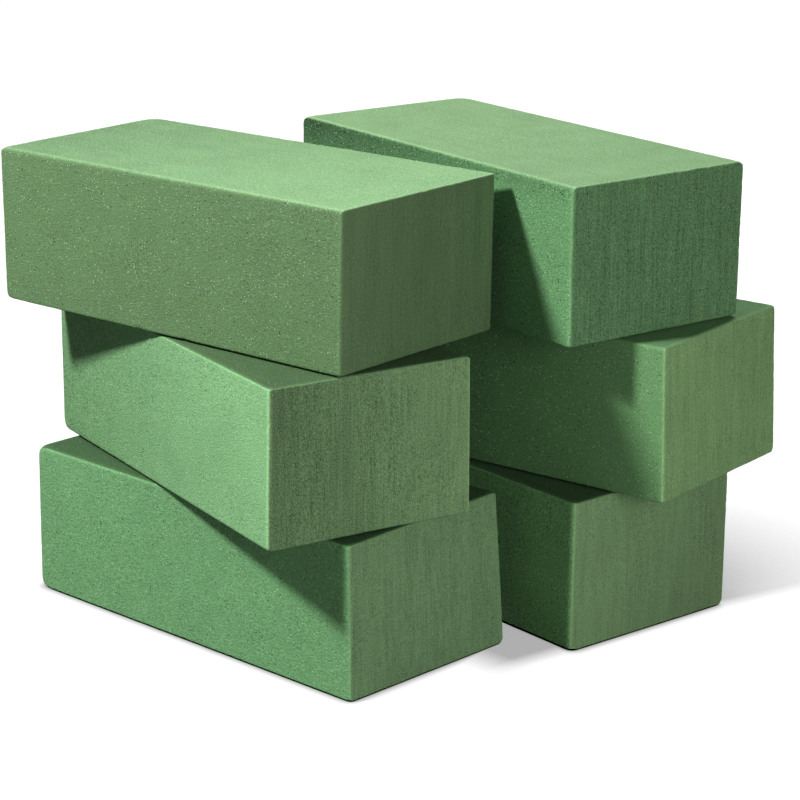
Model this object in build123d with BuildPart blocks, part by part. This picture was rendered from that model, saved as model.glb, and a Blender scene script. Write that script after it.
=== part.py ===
"""Floral foam bricks: six rigid foam blocks, laid in two loose piles of three.

Frame: +Z is up and the floor is Z = 0. +X runs along the length of the two bricks on the floor,
towards their sawn ends. +Y points from the front pile to the back pile. The origin is on the
floor, under the middle of the two piles.
"""

import os
from math import cos, radians, sin

from build123d import *

# One brick, in millimetres.
BRICK_LENGTH = 230.0
BRICK_WIDTH = 110.0
BRICK_HEIGHT = 80.0

# Every brick is cut from a bigger cast block. Its far end and back side are walls of that block:
# their level edges are softly rounded, and the upright corner between them even more. Its near end
# and front side are sawn, with crisper level edges. The other upright edges are worn by handling.
CAST_CORNER_RADIUS = 7.0
CAST_EDGE_RADIUS = 4.0
SAWN_EDGE_RADIUS = 1.5
WORN_EDGE_RADIUS = 2.5

# Every brick lies on the one below with this much air, so that it lifts off freely.
LAYER_GAP = 0.3
LAYER_PITCH = BRICK_HEIGHT + LAYER_GAP

# Where each brick lies: layer from the floor, middle of the brick in X and Y, turn in degrees.
BRICKS = {
    "front_bottom": (0, -28.5, -62.2, 0.0),
    "front_middle": (1, -30.5, -65.7, -15.5),
    "front_top": (2, -38.0, -67.2, 3.2),
    "back_bottom": (0, 16.0, 75.3, -7.9),
    "back_middle": (1, 36.0, 76.3, 5.5),
    "back_top": (2, 20.5, 74.3, -10.9),
}

os.makedirs("parts", exist_ok=True)


def brick_frame(layer, middle_x, middle_y, turn):
    """The plane of a brick's underside, with its X along the brick's length."""
    return Plane(
        origin=(middle_x, middle_y, layer * LAYER_PITCH),
        x_dir=(cos(radians(turn)), sin(radians(turn)), 0),
        z_dir=(0, 0, 1),
    )


def upright_section(length, first_radius, last_radius):
    """A brick-high section standing on the sketch's X axis, with its own radius at either side."""
    with BuildSketch() as section:
        Rectangle(length, BRICK_HEIGHT, align=(Align.CENTER, Align.MIN))
        fillet(section.vertices().sort_by(Axis.X)[:2], radius=first_radius)
        fillet(section.vertices().sort_by(Axis.X)[-2:], radius=last_radius)
    return section.sketch


for name, place in BRICKS.items():
    base = brick_frame(*place)
    along_length = Plane(origin=base.origin, x_dir=base.x_dir, z_dir=-base.y_dir)
    across_width = Plane(origin=base.origin, x_dir=base.y_dir, z_dir=base.x_dir)

    with BuildPart() as brick:
        # The outline from above, standing as high as the brick.
        with BuildSketch(base) as outline:
            Rectangle(BRICK_LENGTH, BRICK_WIDTH)
            cast_corner = (-BRICK_LENGTH / 2, BRICK_WIDTH / 2)
            fillet(outline.vertices().sort_by_distance(cast_corner)[1:], radius=WORN_EDGE_RADIUS)
            fillet(outline.vertices().sort_by_distance(cast_corner)[0], radius=CAST_CORNER_RADIUS)
        extrude(amount=BRICK_HEIGHT)

        # The section along the length rounds the level edges of the far end and the near end.
        with BuildSketch(along_length):
            add(upright_section(BRICK_LENGTH, CAST_EDGE_RADIUS, SAWN_EDGE_RADIUS))
        extrude(amount=BRICK_WIDTH, both=True, mode=Mode.INTERSECT)

        # The section across the width rounds the level edges of the front and back sides.
        with BuildSketch(across_width):
            add(upright_section(BRICK_WIDTH, SAWN_EDGE_RADIUS, CAST_EDGE_RADIUS))
        extrude(amount=BRICK_LENGTH, both=True, mode=Mode.INTERSECT)

    brick.part.label = name
    export_step(brick.part, f"parts/{name}.step")
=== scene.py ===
"""Looks of the floral foam bricks: six open-cell foam blocks in two loose piles of three.

Lengths are in millimetres where a name ends in _MM or a comment says so, and in metres elsewhere.
A brick is made about its own middle: its X runs along the length to the sawn end, its Y across to
the cast back side, its Z up. Its mesh carries the masks that its material reads: "end" is 1 on the
sawn end, "flat" is 1 on the top and the underside, and "rim" says how worn the edges are and how
much painted highlight they get.
"""

import math

import bpy
import numpy as np
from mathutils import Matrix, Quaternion, Vector


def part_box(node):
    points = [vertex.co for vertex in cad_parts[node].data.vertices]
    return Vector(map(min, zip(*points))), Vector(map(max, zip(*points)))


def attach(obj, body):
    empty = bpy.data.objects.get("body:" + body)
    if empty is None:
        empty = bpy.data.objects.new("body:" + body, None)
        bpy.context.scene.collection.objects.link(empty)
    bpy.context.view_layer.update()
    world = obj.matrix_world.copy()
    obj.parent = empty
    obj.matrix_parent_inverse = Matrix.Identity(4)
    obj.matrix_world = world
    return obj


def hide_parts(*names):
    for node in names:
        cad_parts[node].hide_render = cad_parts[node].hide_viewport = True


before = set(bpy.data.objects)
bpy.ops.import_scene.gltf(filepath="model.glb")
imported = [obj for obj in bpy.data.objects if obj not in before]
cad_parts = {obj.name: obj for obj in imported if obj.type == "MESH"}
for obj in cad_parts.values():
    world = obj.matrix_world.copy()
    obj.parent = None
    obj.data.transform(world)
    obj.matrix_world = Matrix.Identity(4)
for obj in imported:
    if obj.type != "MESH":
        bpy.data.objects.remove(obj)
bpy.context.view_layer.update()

MM = 0.001

# ---------------------------------------------------------------- the bricks

BRICK_MM = np.array([230.0, 110.0, 80.0])
HALF_MM = BRICK_MM / 2
HALF_HEIGHT_MM = HALF_MM[2]

# Radii of the edges that all the bricks share.
SAWN_EDGE_MM = (1.2, 1.2)  # top and bottom edges of the sawn end
FAR_BACK_CORNER_MM = 7.0
NEAR_BACK_CORNER_MM = 2.0

# The middle and bottom bricks' darker tops are painted shade, and their lighter sawn ends painted
# light.
# What each brick has of its own:
# turn: degrees.
# front, back, far: radii, in millimetres, of the top and bottom edges of those three sides.
# corners: radii of the front side's near and far upright edges.
# out_front, out_back: how far the front and back corners of the sawn end stand off the true block
#     in X and Y, at the top and then at the bottom. out_far: the same for the far end, in X only.
# side, end, top: linear colours of the long sides and far end, the sawn end, the top and underside.
# slope: how much lighter the long sides get towards the sawn end, the sawn end towards the back,
#     and the top towards the sawn end.
# grit: how coarse the long sides, the sawn end and the top look.
# rim: how much paler the worn edges are, as painted highlight. band: how much darker the long
#     sides are below their top edge, as painted shade.
# torn: how deep, in millimetres, the saw tore the back half of the sawn end's top edge.
# seed: gives the brick its own unevenness, chips and grit.
BRICKS = {
    "front_bottom": dict(
        turn=0.0, front=(2.0, 1.5), back=(2.6, 3.8), far=(6.5, 5.5), corners=(2.6, 6.0),
        out_front=((-0.5, 0.0), (0.5, 0.0)), out_back=((-3.4, 0.0), (3.0, 0.7)), out_far=(-2.0, -3.0),
        # Its dark top is painted shade, and its lighter sawn end painted light.
        side=(0.178, 0.395, 0.172), end=(0.195, 0.335, 0.160), top=(0.066, 0.130, 0.058),
        slope=(0.0, 0.0, 0.0), grit=(1.1, 1.5, 1.0), rim=0.35, band=0.0, torn=0.0, seed=11,
    ),
    "front_middle": dict(
        turn=-15.5, front=(1.4, 2.2), back=(3.2, 3.4), far=(3.5, 7.0), corners=(1.6, 4.5),
        out_front=((1.2, 0.0), (0.9, -1.3)), out_back=((-0.4, 2.2), (0.4, 2.2)), out_far=(-0.6, -0.8),
        # Its dark top is painted shade, and its lighter sawn end painted light.
        side=(0.208, 0.422, 0.191), end=(0.190, 0.318, 0.148), top=(0.085, 0.155, 0.070),
        slope=(0.24, 0.20, 0.0), grit=(1.1, 1.9, 1.3), rim=0.7, band=0.0, torn=0.0, seed=12,
    ),
    "front_top": dict(
        turn=3.2, front=(2.2, 1.6), back=(1.2, 1.6), far=(3.6, 4.4), corners=(2.0, 3.0),
        out_front=((-0.2, 0.0), (-1.6, 0.0)), out_back=((0.5, 4.6), (-0.5, 4.6)), out_far=(-2.0, -1.4),
        side=(0.130, 0.232, 0.103), end=(0.117, 0.196, 0.090), top=(0.199, 0.355, 0.171),
        slope=(0.0, -0.10, 0.22), grit=(1.0, 1.1, 1.8), rim=0.5, band=0.0, torn=0.0, seed=13,
    ),
    "back_bottom": dict(
        turn=-7.9, front=(1.5, 1.8), back=(3.0, 4.0), far=(4.0, 4.0), corners=(4.0, 3.0),
        out_front=((1.5, 0.6), (0.0, 1.5)), out_back=((-0.5, 2.6), (0.5, 1.2)), out_far=(0.0, 0.0),
        # Its dark top is painted shade, and its lighter sawn end painted light.
        side=(0.205, 0.412, 0.175), end=(0.192, 0.318, 0.150), top=(0.065, 0.130, 0.058),
        slope=(0.0, -0.12, 0.0), grit=(1.5, 1.3, 1.0), rim=0.6, band=0.0, torn=0.0, seed=14,
    ),
    "back_middle": dict(
        turn=5.5, front=(1.6, 1.4), back=(3.0, 4.0), far=(4.0, 4.0), corners=(2.8, 3.0),
        out_front=((-1.0, 0.0), (1.0, 0.0)), out_back=((-1.6, 0.0), (1.6, 0.4)), out_far=(0.0, 0.0),
        # Its dark long sides, darker still towards the far end by its slope, and its dark top are
        # painted shade; its lighter sawn end is painted light.
        side=(0.106, 0.222, 0.092), end=(0.232, 0.396, 0.170), top=(0.150, 0.290, 0.130),
        slope=(0.60, -0.05, 0.0), grit=(1.4, 1.4, 1.0), rim=0.6, band=0.0, torn=0.0, seed=15,
    ),
    "back_top": dict(
        turn=-10.9, front=(2.2, 1.2), back=(3.2, 3.0), far=(5.0, 4.0), corners=(2.2, 3.0),
        out_front=((0.0, 0.0), (0.0, 0.0)), out_back=((0.0, 1.9), (0.0, 1.7)), out_far=(0.0, 0.0),
        side=(0.112, 0.250, 0.108), end=(0.128, 0.260, 0.117), top=(0.208, 0.360, 0.174),
        # Its long sides' slope, darker towards the far end, and its band are painted shade.
        slope=(0.40, -0.04, 0.0), grit=(1.8, 2.1, 1.5), rim=0.6, band=0.28, torn=1.2, seed=16,
    ),
}

# ---------------------------------------------------------------- the bricks' meshes

FACE_CELL_MM = 1.25  # mesh spacing on the faces
EDGE_LINES_MM = np.array([0.0, 0.25, 0.5, 0.8, 1.2, 1.8, 2.6, 3.6, 4.8])  # and beside the edges

# How wide the worn edges with their painted highlight are, and how strong the level ones are
# beside the upright ones.
UPRIGHT_WEAR_MM = 1.4
LEVEL_WEAR_MM = 0.7
LEVEL_WEAR = 0.4

# The faces' unevenness: the size of its bumps, and their height.
BOW_MM = (90, 0.25)
WAVE_MM = (16, 0.08)
GRAIN_MM = (2.6, 0.05)
CRUMBLE_MM = (2.0, 0.25)  # on the worn edges only
FLAT_SINK_MM = 0.25  # keeps the top and underside inside the brick's height

CHIP_COUNT = 14
CHIP_SIZES_MM = (0.7, 1.8)
CHIP_DEPTH = 0.35  # of its size

TEAR_SIZE_MM = 1.8
TEAR_HEIGHT_MM = 3.5
TEAR_START_MM = (-5, 15)  # where the torn stretch begins, across the sawn end
TEAR_BIAS = 0.3  # makes the torn places larger than the whole ones

FACING = (0.5, 0.9)  # how squarely a surface points a mask's way, for the mask to begin and to be full

HASH_STEPS = (73856093, 19349663, 83492791, 2654435761)
HASH_MIXERS = (1274126177, 668265263)


def lattice_noise(points, seed):
    """Smooth noise from -1 to 1, with one random value at each whole-numbered point."""
    cell = np.floor(points).astype(np.int64)
    part = points - cell
    part = part * part * (3 - 2 * part)
    noise_sum = np.zeros(len(points))
    for corner in np.ndindex(2, 2, 2):
        x, y, z = (cell + corner).T
        word = x * HASH_STEPS[0] ^ y * HASH_STEPS[1] ^ z * HASH_STEPS[2] ^ seed * HASH_STEPS[3]
        word = (word ^ word >> 13) * HASH_MIXERS[0] & 0x7FFFFFFF
        word = (word ^ word >> 11) * HASH_MIXERS[1] & 0x7FFFFFFF
        weight = np.prod(np.where(corner, part, 1 - part), axis=1)
        noise_sum += weight * (word / 0x3FFFFFFF - 1)
    return noise_sum


def smooth_step(value, low, high):
    """0 below low, 1 above high, and a smooth rise between them."""
    part = np.clip((value - low) / (high - low), 0, 1)
    return part * part * (3 - 2 * part)


def graded_line(half):
    """Grid coordinates from -half to half, closer together at both ends."""
    inner = half - EDGE_LINES_MM[-1] - FACE_CELL_MM
    middle = np.linspace(-inner, inner, round(2 * inner / FACE_CELL_MM) + 1)
    return np.concatenate([EDGE_LINES_MM - half, middle, half - EDGE_LINES_MM[::-1]])


def box_shell(xs, ys, zs):
    """The surface of a box on a grid: its points, and its quads facing outwards."""
    counts = (len(xs), len(ys), len(zs))
    shell = np.ones(counts, bool)
    shell[1:-1, 1:-1, 1:-1] = False
    index = np.full(counts, -1)
    index[shell] = np.arange(shell.sum())
    points = np.stack(np.meshgrid(xs, ys, zs, indexing="ij"), axis=-1)[shell]
    quads = []
    for axis in range(3):
        for side in (0, -1):
            layer = np.take(index, side, axis)
            corners = [layer[:-1, :-1], layer[1:, :-1], layer[1:, 1:], layer[:-1, 1:]]
            if (side == 0) != (axis == 1):
                corners.reverse()
            quads.append(np.stack(corners, axis=-1).reshape(-1, 4))
    return points, np.concatenate(quads)


def inset(radius, depth):
    """How far an edge rounded to radius pulls a wall in, at a depth below the flat face."""
    rise = np.clip(radius - depth, 0, None)
    return radius - np.sqrt(radius**2 - rise**2)


def upright_radii(brick, near, back):
    """The radius of the upright edge that each point is nearest to."""
    near_front, far_front = brick["corners"]
    conditions = [near & ~back, ~near & ~back, ~near & back]
    return np.select(conditions, [near_front, far_front, FAR_BACK_CORNER_MM], NEAR_BACK_CORNER_MM)


def rounded(box_points, brick):
    """The box's points with the level edges rounded, then the upright edges, then moved corners."""
    length, width = (box_points[:, :2] + HALF_MM[:2]).T / BRICK_MM[:2, None]  # from 0 to 1
    z = box_points[:, 2]

    def walls(*radii):
        """How far two neighbouring walls are pulled in by their top and bottom edges."""
        above, below = HALF_HEIGHT_MM - z, HALF_HEIGHT_MM + z
        return np.stack([inset(top, above) + inset(bottom, below) for top, bottom in radii], axis=1)

    low = walls(brick["far"], brick["front"]) - HALF_MM[:2]
    high = HALF_MM[:2] - walls(SAWN_EDGE_MM, brick["back"])
    plan = low + np.stack([length, width], axis=1) * (high - low)

    radius = upright_radii(brick, length > 0.5, width > 0.5)[:, None]
    core = np.clip(plan, low + radius, high - radius)
    reach = plan - core
    longest = np.abs(reach).max(axis=1)
    distance = np.maximum(np.linalg.norm(reach, axis=1), 1e-9)
    plan = core + reach * (longest / distance)[:, None]

    rise = (z / HALF_HEIGHT_MM + 1) / 2
    front, back = (
        np.outer(rise, brick[corner][0]) + np.outer(1 - rise, brick[corner][1])
        for corner in ("out_front", "out_back")
    )
    plan += length[:, None] * (front + width[:, None] * (back - front))
    far_top, far_bottom = brick["out_far"]
    plan[:, 0] += (1 - length) * (far_bottom + rise * (far_top - far_bottom))
    return np.column_stack([plan, z])


def edge_wear_and_highlight(box_points):
    """How crushed the edges are, and how pale with painted highlight: 1 on the uprights, less on the
    rest, 0 away from them.
    """
    depth = HALF_MM - np.abs(box_points)
    upright = np.maximum(depth[:, 0], depth[:, 1])
    level = np.maximum(depth[:, 2], np.minimum(depth[:, 0], depth[:, 1]))
    upright = np.exp(-((upright / UPRIGHT_WEAR_MM) ** 2))
    return np.maximum(upright, LEVEL_WEAR * np.exp(-((level / LEVEL_WEAR_MM) ** 2)))


def chips(points, seed):
    """Depth of the small chips knocked out of the brick's edges."""
    random = np.random.default_rng(seed)
    depth = np.zeros(len(points))
    for _ in range(CHIP_COUNT):
        edge_axes = random.choice(3, 2, replace=False)
        centre = random.uniform(-1, 1, 3) * HALF_MM
        for axis in edge_axes:
            centre[axis] = HALF_MM[axis] * random.choice((-1, 1))
        size = random.uniform(*CHIP_SIZES_MM)
        away = np.sum((points - centre) ** 2, axis=1)
        depth = np.maximum(depth, CHIP_DEPTH * size * np.exp(-away / size**2))
    return depth


def tears(points, z, seed):
    """Where the saw tore the back half of the sawn end's top edge, from 0 up."""
    stretch = smooth_step(points[:, 1], *TEAR_START_MM)
    stretch *= smooth_step(z, HALF_HEIGHT_MM - TEAR_HEIGHT_MM, HALF_HEIGHT_MM)
    return stretch * np.maximum(lattice_noise(points / TEAR_SIZE_MM, seed) + TEAR_BIAS, 0)


def brick_mesh(name, brick):
    """The brick's mesh: rounded, made uneven, chipped and torn, with the masks for its material."""
    seed = brick["seed"]
    box_points, quads = box_shell(*(graded_line(half) for half in HALF_MM))
    points = rounded(box_points, brick)
    mesh = bpy.data.meshes.new(name)
    mesh.from_pydata((points * MM).tolist(), [], quads.tolist())
    outward = np.array([normal.vector for normal in mesh.vertex_normals])
    level = np.abs(outward[:, 2])
    end = smooth_step(outward[:, 0], *FACING)
    flat = smooth_step(level, *FACING)
    rim = edge_wear_and_highlight(box_points)

    bow, wave, grain = (
        high * lattice_noise(points / size, seed + step)
        for step, (size, high) in enumerate((BOW_MM, WAVE_MM, GRAIN_MM))
    )
    crumble_size, crumble_high = CRUMBLE_MM
    crumble = crumble_high * np.minimum(lattice_noise(points / crumble_size, seed + 3), 0) * rim
    height = bow + wave + grain + crumble
    height = np.where(level > FACING[0], np.minimum(height - FLAT_SINK_MM, 0), height)
    height -= chips(points, seed)
    height -= brick["torn"] * end * tears(points, box_points[:, 2], seed + 4)
    points = points + outward * height[:, None]

    mesh.vertices.foreach_set("co", (points * MM).astype(np.float32).ravel())
    mesh.update()
    mesh.shade_smooth()
    for mask_name, values in (("end", end), ("flat", flat), ("rim", rim)):
        layer = mesh.attributes.new(mask_name, "FLOAT", "POINT")
        layer.data.foreach_set("value", values.astype(np.float32))
    return mesh


# ---------------------------------------------------------------- shader node helpers

NOISE_RANGE = (0.3, 0.7)  # where nearly all the values of a noise texture lie
SPECK_CORE = 0.4  # of a speck's radius, at its full strength


def add(tree, kind, inputs=None, **settings):
    """A new node with its settings, and its inputs set to values or wired to other nodes' outputs."""
    node = tree.nodes.new(kind)
    for key, value in settings.items():
        setattr(node, key, value)
    for key, value in (inputs or {}).items():
        if isinstance(value, bpy.types.NodeSocket):
            tree.links.new(value, node.inputs[key])
        else:
            node.inputs[key].default_value = value
    return node


def maths(tree, operation, first, second=0.0):
    return add(tree, "ShaderNodeMath", {0: first, 1: second}, operation=operation).outputs[0]


def mixed(tree, share, first, second, kind="FLOAT"):
    """First where share is 0 and second where it is 1. The Mix node has sockets for each kind."""
    share_at, first_at, second_at, result_at = {"FLOAT": (0, 2, 3, 0), "RGBA": (0, 6, 7, 2)}[kind]
    inputs = {share_at: share, first_at: first, second_at: second}
    return add(tree, "ShaderNodeMix", inputs, data_type=kind).outputs[result_at]


def ramp(tree, value, low, high, to_low=0.0, to_high=1.0):
    """Value taken from between low and high to between to_low and to_high, and kept there."""
    inputs = {"Value": value, "From Min": low, "From Max": high, "To Min": to_low, "To Max": to_high}
    return add(tree, "ShaderNodeMapRange", inputs).outputs[0]


def noise(tree, place, scale, detail, roughness=0.5):
    inputs = {"Vector": place, "Scale": scale, "Detail": detail, "Roughness": roughness}
    return add(tree, "ShaderNodeTexNoise", inputs).outputs[0]


def wavy_noise(tree, place, stretch, scale, detail, roughness):
    """Noise spread out to run from -1 to 1, drawn out along the axes where stretch is small."""
    place = add(tree, "ShaderNodeVectorMath", {0: place, 1: stretch}, operation="MULTIPLY").outputs[0]
    return ramp(tree, noise(tree, place, scale, detail, roughness), *NOISE_RANGE, -1.0, 1.0)


def specks(tree, place, scale, radius, share):
    """Small round spots, one in each of a share of the cells: 1 in a spot and 0 between."""
    cells = add(tree, "ShaderNodeTexVoronoi", {"Vector": place, "Scale": scale})
    spot = ramp(tree, cells.outputs["Distance"], radius, radius * SPECK_CORE)
    pick = add(tree, "ShaderNodeSeparateColor", {0: cells.outputs["Color"]}).outputs[0]
    return maths(tree, "MULTIPLY", spot, maths(tree, "LESS_THAN", pick, share))


def total(tree, *terms):
    """The sum of (value, weight) terms."""
    (value, weight), *others = terms
    result = maths(tree, "MULTIPLY", value, weight)
    for value, weight in others:
        inputs = {0: value, 1: weight, 2: result}
        result = add(tree, "ShaderNodeMath", inputs, operation="MULTIPLY_ADD").outputs[0]
    return result


# ---------------------------------------------------------------- the foam

# Patterns. noise: stretch along X, Y and Z, bumps in a millimetre, detail, roughness.
NOISES = {
    "grain": ((1.0, 1.0, 1.0), 1.1, 1, 0.6),
    "fine": ((1.0, 1.0, 0.7), 1.9, 1, 0.6),
    "saw": ((1.0, 1.0, 0.04), 0.8, 3, 0.7),
    "sweep": ((1.0, 1.0, 0.1), 0.12, 2, 0.5),
    "smear": ((0.05, 1.0, 1.0), 0.8, 3, 0.6),
    "cloud": ((1.0, 1.0, 1.0), 0.04, 3, 0.5),
}
# specks: cells in a millimetre, radius in cells, share of the cells.
SPECKS = {
    "pits": (0.45, 0.24, 0.3),
    "glints": (1.05, 0.36, 0.3),
    "sparks": (0.5, 0.2, 0.7),
}
# Patches where the long sides' grit is finer or coarser.
PATCH_SCALE = 0.09
PATCH_DETAIL = 3
PATCH_RANGE = (0.4, 0.6)  # of the noise, drawn out to the grit's range
PATCH_GRIT = (0.75, 1.2)

# How much each pattern adds to the tone and to the height of the long sides, the sawn end, the top.
GRIT_TONE = (
    {"grain": 0.20, "glints": 0.40, "pits": -0.60, "sparks": 0.6},
    {"fine": 0.22, "glints": 0.08, "pits": -0.20, "saw": 0.10, "sparks": 0.2},
    {"grain": 0.15, "glints": 0.20, "pits": -0.15, "sparks": 0.4},
)
BROAD_TONE = (
    {"cloud": 0.05},
    {"sweep": 0.06, "cloud": 0.04},
    {"smear": 0.06, "cloud": 0.06},
)
GRIT_HEIGHT = (
    {"grain": 1.0, "glints": 1.2, "pits": -2.5, "sparks": 1.5},
    {"fine": 0.8, "saw": 0.8, "pits": -2.0},
    {"grain": 0.8, "smear": 0.4, "pits": -1.0},
)
BUMP_DEPTH = 0.15 * MM
BUMP_STRENGTH = 0.6
BAND_MM = 12.0  # how far the darker band of painted shade reaches below the top edge

GLINT_COLOUR = (0.60, 0.74, 0.60, 1)
GLINT_SHARES = (0.55, 0.0, 0.22)  # of the long sides, the sawn end and the top

ROUGHNESS = 0.95
SPECULAR = 0.15
SEED_SHIFT_MM = (73.0, 31.0, 57.0)  # moves each brick's patterns


def foam_material(name, brick):
    material = bpy.data.materials.new(name)
    material.use_nodes = True
    tree = material.node_tree
    shader = tree.nodes["Principled BSDF"]
    end, flat, rim = (
        add(tree, "ShaderNodeAttribute", attribute_name=word).outputs["Fac"]
        for word in ("end", "flat", "rim")
    )

    def by_face(side_value, end_value, top_value, kind="FLOAT"):
        return mixed(tree, flat, mixed(tree, end, side_value, end_value, kind), top_value, kind)

    here = add(tree, "ShaderNodeTexCoord").outputs["Object"]
    shift = tuple(brick["seed"] * step for step in SEED_SHIFT_MM)
    place = {"Vector": here, "Location": shift, "Scale": (1 / MM,) * 3}
    place = add(tree, "ShaderNodeMapping", place).outputs[0]
    patterns = {word: wavy_noise(tree, place, *numbers) for word, numbers in NOISES.items()}
    patterns |= {word: specks(tree, place, *numbers) for word, numbers in SPECKS.items()}

    def pattern_sum(weights):
        return total(tree, *((patterns[word], weight) for word, weight in weights.items()))

    # How light the foam is: its grit, its broad patches, a slope along each face, the painted
    # highlight on its worn edges and the painted shade of the darker band below the top edge.
    grit = by_face(*brick["grit"])
    patch = ramp(tree, noise(tree, place, PATCH_SCALE, PATCH_DETAIL), *PATCH_RANGE, *PATCH_GRIT)
    side_tone, end_tone, top_tone = (pattern_sum(weights) for weights in GRIT_TONE)
    gritty = by_face(maths(tree, "MULTIPLY", side_tone, patch), end_tone, top_tone)
    gritty = maths(tree, "MULTIPLY", gritty, grit)
    broad = by_face(*(pattern_sum(weights) for weights in BROAD_TONE))

    x, y, z = add(tree, "ShaderNodeSeparateXYZ", {0: here}).outputs
    directions = ((x, HALF_MM[0]), (y, HALF_MM[1]), (x, HALF_MM[0]))
    slope = by_face(
        *(
            maths(tree, "MULTIPLY", along, rate / (half * MM))
            for (along, half), rate in zip(directions, brick["slope"])
        )
    )
    top_edge = HALF_HEIGHT_MM * MM
    # The band is painted shade, darkening the long sides below their top edge.
    band = ramp(tree, z, top_edge - BAND_MM * MM, top_edge, 0.0, brick["band"])
    band = by_face(band, 0.0, 0.0)
    tone = total(tree, (gritty, 1.0), (broad, 1.0), (slope, 1.0), (rim, brick["rim"]), (band, -1.0))
    tone = maths(tree, "ADD", tone, 1.0)

    shade = by_face(*((*brick[face], 1) for face in ("side", "end", "top")), "RGBA")
    shade = add(tree, "ShaderNodeVectorMath", {0: shade, "Scale": tone}, operation="SCALE").outputs[0]
    glint = maths(tree, "MULTIPLY", by_face(*GLINT_SHARES), patterns["sparks"])
    tree.links.new(mixed(tree, glint, shade, GLINT_COLOUR, "RGBA"), shader.inputs["Base Color"])

    height = by_face(*(pattern_sum(weights) for weights in GRIT_HEIGHT))
    height = maths(tree, "MULTIPLY", height, grit)
    bump = {"Strength": BUMP_STRENGTH, "Distance": BUMP_DEPTH, "Height": height}
    tree.links.new(add(tree, "ShaderNodeBump", bump).outputs[0], shader.inputs["Normal"])
    shader.inputs["Roughness"].default_value = ROUGHNESS
    shader.inputs["Specular IOR Level"].default_value = SPECULAR
    return material


def make_brick(name, brick):
    low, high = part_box(name)
    block = bpy.data.objects.new(f"foam_{name}", brick_mesh(name, brick))
    bpy.context.collection.objects.link(block)
    block.location = (low + high) / 2
    block.rotation_euler = (0, 0, math.radians(brick["turn"]))
    block.data.materials.append(foam_material(f"foam_{name}", brick))
    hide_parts(name)
    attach(block, f"{name}_brick")


# ---------------------------------------------------------------- floor

FLOOR_SIZE = 12.0
FLOOR_COLOUR = 0.16  # what the floor gives back to the bricks
FLOOR_ROUGHNESS = 0.9
OCCLUSION_SAMPLES = 16
CONTACT = (0.006, 1.2)  # reach and depth of the painted contact shadow under the bricks
SHADE = (0.16, 1.6)  # reach and depth of the shade behind the bricks
DARKEST_SHADE = 0.6

# The shade lies on the -X side of a line that runs from one point on the floor to the other, and
# from there on by SHADE_BEYOND.
SHADE_FROM = Vector((0.112, -0.02))
SHADE_TO = Vector((0.138, 0.114))
SHADE_BEYOND = Vector((0.15, 0.5))
SHADE_SOFTNESS = (-0.008, 0.006)  # how far inside that line it begins, and is full
SHADE_FADE_FRONT = 0.025  # how far it fades out in front of its first point
SHADE_FADE_LEFT = (-0.05, 0.0)  # X between which it fades in


def shaded_area(tree):
    """1 on the floor behind the bricks, where the shade may show, and 0 elsewhere."""
    here = add(tree, "ShaderNodeTexCoord").outputs["Object"]
    east, north = add(tree, "ShaderNodeSeparateXYZ", {0: here}).outputs[:2]
    edge = ramp(tree, north, SHADE_FROM.y, SHADE_TO.y, SHADE_FROM.x, SHADE_TO.x)
    beyond = ramp(tree, north, SHADE_TO.y, SHADE_TO.y + SHADE_BEYOND.y, 0.0, SHADE_BEYOND.x)
    edge = maths(tree, "ADD", edge, beyond)
    area = ramp(tree, maths(tree, "SUBTRACT", edge, east), *SHADE_SOFTNESS)
    fade = ramp(tree, north, SHADE_FROM.y - SHADE_FADE_FRONT, SHADE_FROM.y)
    area = maths(tree, "MULTIPLY", area, fade)
    return maths(tree, "MULTIPLY", area, ramp(tree, east, *SHADE_FADE_LEFT))


def hidden_share(tree, reach, depth):
    """How much of the sky the bricks hide within reach, times depth."""
    node = add(tree, "ShaderNodeAmbientOcclusion", {"Distance": reach}, samples=OCCLUSION_SAMPLES)
    return ramp(tree, node.outputs["AO"], 0.0, 1.0, depth, 0.0)


def make_floor():
    half = FLOOR_SIZE / 2
    corners = [(-half, -half, 0), (half, -half, 0), (half, half, 0), (-half, half, 0)]
    mesh = bpy.data.meshes.new("floor")
    mesh.from_pydata(corners, [], [(0, 1, 2, 3)])
    floor = bpy.data.objects.new("floor", mesh)
    bpy.context.collection.objects.link(floor)
    material = bpy.data.materials.new("floor")
    material.use_nodes = True
    tree = material.node_tree
    shader = tree.nodes["Principled BSDF"]
    shader.inputs["Base Color"].default_value = (FLOOR_COLOUR, FLOOR_COLOUR, FLOOR_COLOUR, 1)
    shader.inputs["Roughness"].default_value = FLOOR_ROUGHNESS
    shader.inputs["Specular IOR Level"].default_value = 0.0
    shader.inputs["Emission Color"].default_value = (1, 1, 1, 1)

    # Seen directly, the floor is white, with painted shadow where the bricks touch it and behind them.
    contact = hidden_share(tree, *CONTACT)
    shade = maths(tree, "MINIMUM", hidden_share(tree, *SHADE), DARKEST_SHADE)
    shade = maths(tree, "MULTIPLY", shade, shaded_area(tree))
    white = maths(tree, "SUBTRACT", 1.0, maths(tree, "MAXIMUM", contact, shade))
    seen = add(tree, "ShaderNodeLightPath").outputs["Is Camera Ray"]
    tree.links.new(maths(tree, "MULTIPLY", seen, white), shader.inputs["Emission Strength"])
    mesh.materials.append(material)


# ---------------------------------------------------------------- light and camera

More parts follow.
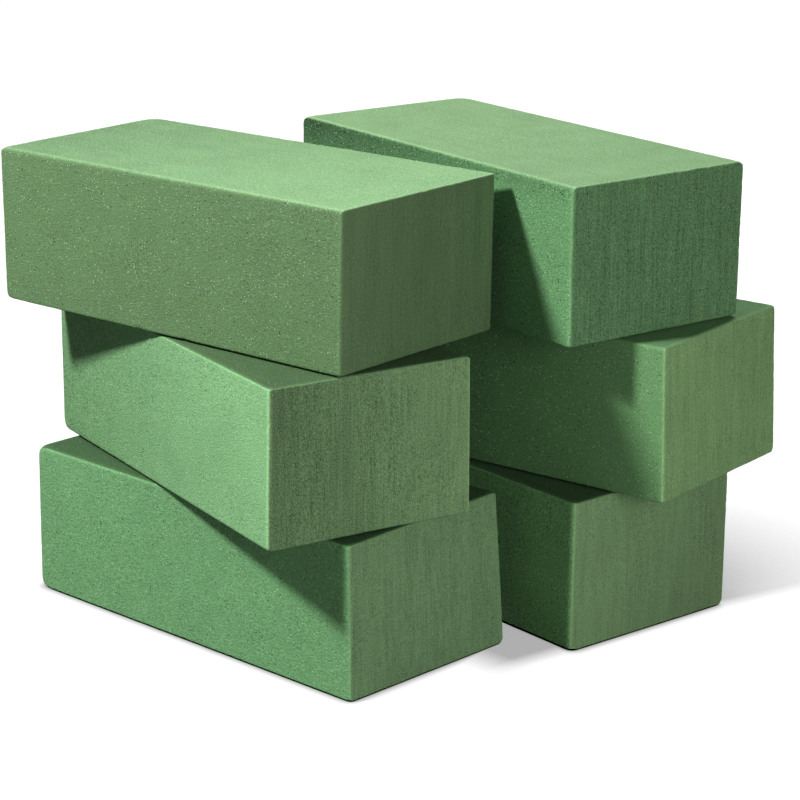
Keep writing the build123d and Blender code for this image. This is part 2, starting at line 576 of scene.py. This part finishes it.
# name: (place, size, power)
LIGHTS = {
    "key": (Vector((-0.282, -0.784, 0.969)), 0.14, 16.0),
    "fill": (Vector((1.4, -0.35, 0.35)), 1.0, 10.5),
    "rear": (Vector((-0.5, 1.15, 1.25)), 0.9, 20.0),
}
AMBIENT = 0.048  # what the surroundings give to the bricks
BACKGROUND = 1.0  # how bright they look behind the bricks

CAMERA_TARGET = Vector((0.0053, 0.0050, 0.109))
CAMERA_AZIMUTH = math.radians(42.74)
CAMERA_ELEVATION = math.radians(16.62)
CAMERA_ROLL = math.radians(0.34)
CAMERA_DISTANCE = 1.36
CAMERA_LENS = 117.24


def make_world():
    world = bpy.data.worlds.new("studio")
    bpy.context.scene.world = world
    world.use_nodes = True
    tree = world.node_tree
    seen = add(tree, "ShaderNodeLightPath").outputs["Is Camera Ray"]
    background = tree.nodes["Background"]
    background.inputs["Color"].default_value = (1, 1, 1, 1)
    tree.links.new(mixed(tree, seen, AMBIENT, BACKGROUND), background.inputs["Strength"])


def make_lights():
    for name, (place, size, power) in LIGHTS.items():
        data = bpy.data.lights.new(name, "AREA")
        data.shape = "DISK"
        data.size = size
        data.energy = power
        light = bpy.data.objects.new(name, data)
        bpy.context.collection.objects.link(light)
        light.location = place
        light.rotation_euler = (place - CAMERA_TARGET).to_track_quat("Z", "Y").to_euler()


def make_camera():
    level = math.cos(CAMERA_ELEVATION)
    back = Vector(
        (
            math.sin(CAMERA_AZIMUTH) * level,
            -math.cos(CAMERA_AZIMUTH) * level,
            math.sin(CAMERA_ELEVATION),
        )
    )
    camera = bpy.data.objects.new("camera", bpy.data.cameras.new("camera"))
    bpy.context.collection.objects.link(camera)
    camera.data.lens = CAMERA_LENS
    camera.location = CAMERA_TARGET + back * CAMERA_DISTANCE
    camera.rotation_mode = "QUATERNION"
    camera.rotation_quaternion = back.to_track_quat("Z", "Y") @ Quaternion((0, 0, 1), CAMERA_ROLL)
    bpy.context.scene.camera = camera


# ---------------------------------------------------------------- the scene

for brick_name, brick_look in BRICKS.items():
    make_brick(brick_name, brick_look)
make_floor()
make_world()
make_lights()
make_camera()
bpy.context.scene.view_settings.view_transform = "Standard"
